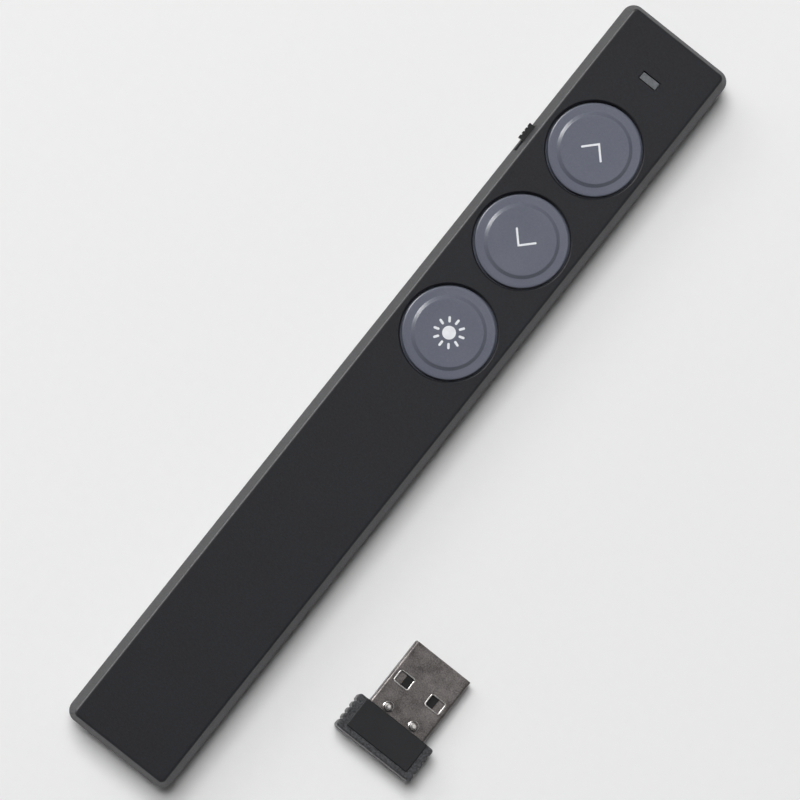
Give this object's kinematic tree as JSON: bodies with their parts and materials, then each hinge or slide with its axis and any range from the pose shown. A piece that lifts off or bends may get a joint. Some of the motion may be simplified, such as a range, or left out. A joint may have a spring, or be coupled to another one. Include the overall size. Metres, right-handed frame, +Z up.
{
  "type": "wireless presentation clicker",
  "caption": "Slim rounded-end bar with raised round push buttons on top, side power slider, sliding battery door below, and a separate plug-in USB receiver.",
  "frame": {"origin": "middle of the case's flat underside", "axes": "+Y along the bar to the nose with the laser window, +X to the right seen from above, +Z up out of the buttons"},
  "size_m": [0.0553, 0.1594, 0.0143],
  "materials": {
    "cover_plastic": "fine satin moulding texture",
    "case_plastic": "satin",
    "button_plastic": "soft-touch satin",
    "knob_plastic": "satin",
    "switch_plastic": "moulded",
    "switch_steel": "tinned sheet",
    "solder": "tinned",
    "board_laminate": "solder mask",
    "chip_plastic": "moulded epoxy",
    "crystal_steel": "drawn can",
    "ceramic": "fired ceramic",
    "copper": "plated copper",
    "clear_plastic": "frosted",
    "laser_brass": "turned",
    "laser_glass": "clear tinted",
    "screw_steel": "zinc plated",
    "cell_steel": "drawn can",
    "cell_sleeve": "printed film",
    "contact_nickel": "nickel plated",
    "wire_jacket": "extruded",
    "hood_plastic": "moulded",
    "plug_steel": "stamped, bead blasted",
    "tongue_plastic": "moulded",
    "contact_gold": "gold plated"
  },
  "bodies": {
    "clicker_case": {"top_cover": "cover_plastic", "bottom_case": "case_plastic", "circuit_board": "board_laminate", "radio_chip": "chip_plastic", "board_crystal": "crystal_steel", "boost_inductor": "chip_plastic", "chip_capacitors": "ceramic", "chip_resistors": "solder", "antenna_trace": "copper", "indicator_led": "clear_plastic", "light_window": "clear_plastic", "slide_switch_body": "switch_steel", "switch_leads": "solder", "board_screws": "screw_steel", "case_screws": "screw_steel", "laser_barrel": "laser_brass", "laser_lens": "laser_glass", "laser_diode": "laser_brass", "laser_board": "board_laminate", "laser_leads": "wire_jacket", "laser_window": "laser_glass", "battery_cell": "cell_steel", "battery_sleeve": "cell_sleeve", "battery_spring": "contact_nickel", "battery_spring_plate": "contact_nickel", "battery_positive_plate": "contact_nickel", "battery_leads": "wire_jacket", "next_switch_base": "switch_plastic", "next_switch_cover": "switch_steel", "next_switch_dome": "switch_steel", "back_switch_base": "switch_plastic", "back_switch_cover": "switch_steel", "back_switch_dome": "switch_steel", "laser_switch_base": "switch_plastic", "laser_switch_cover": "switch_steel", "laser_switch_dome": "switch_steel"},
    "next_button": {"next_button_cap": "button_plastic", "next_switch_plunger": "switch_plastic"},
    "back_button": {"back_button_cap": "button_plastic", "back_switch_plunger": "switch_plastic"},
    "laser_button": {"laser_button_cap": "button_plastic", "laser_switch_plunger": "switch_plastic"},
    "power_knob": {"power_slider": "knob_plastic", "slide_switch_lever": "switch_plastic"},
    "battery_cover": {"battery_door": "case_plastic"},
    "usb_receiver": {"receiver_hood": "hood_plastic", "receiver_shell": "plug_steel", "receiver_insulator": "tongue_plastic", "receiver_contacts": "contact_gold", "receiver_board": "board_laminate", "receiver_chip": "chip_plastic", "receiver_crystal": "crystal_steel"}
  },
  "joints": [
    {"name": "next_press", "type": "slide", "parent": "clicker_case", "child": "next_button", "axis": [0, 0, -1], "range_m": [0, 0.0003], "stiffness_N_per_m": 1500, "springref_m": -0.0005, "deforming": ["next_switch_dome"]},
    {"name": "back_press", "type": "slide", "parent": "clicker_case", "child": "back_button", "axis": [0, 0, -1], "range_m": [0, 0.0003], "stiffness_N_per_m": 1500, "springref_m": -0.0005, "deforming": ["back_switch_dome"]},
    {"name": "laser_press", "type": "slide", "parent": "clicker_case", "child": "laser_button", "axis": [0, 0, -1], "range_m": [0, 0.0003], "stiffness_N_per_m": 1500, "springref_m": -0.0005, "deforming": ["laser_switch_dome"]},
    {"name": "power_slide", "type": "slide", "parent": "clicker_case", "child": "power_knob", "axis": [0, -1, 0], "range_m": [0, 0.002]},
    {"name": "battery_door_slide", "type": "slide", "parent": "clicker_case", "child": "battery_cover", "axis": [0, -1, 0], "range_m": [0, 0.08]},
    {"name": "receiver_lift", "type": "slide", "parent": "clicker_case", "child": "usb_receiver", "axis": [0, 0, 1], "range_m": [0, 0.04]}
  ]
}
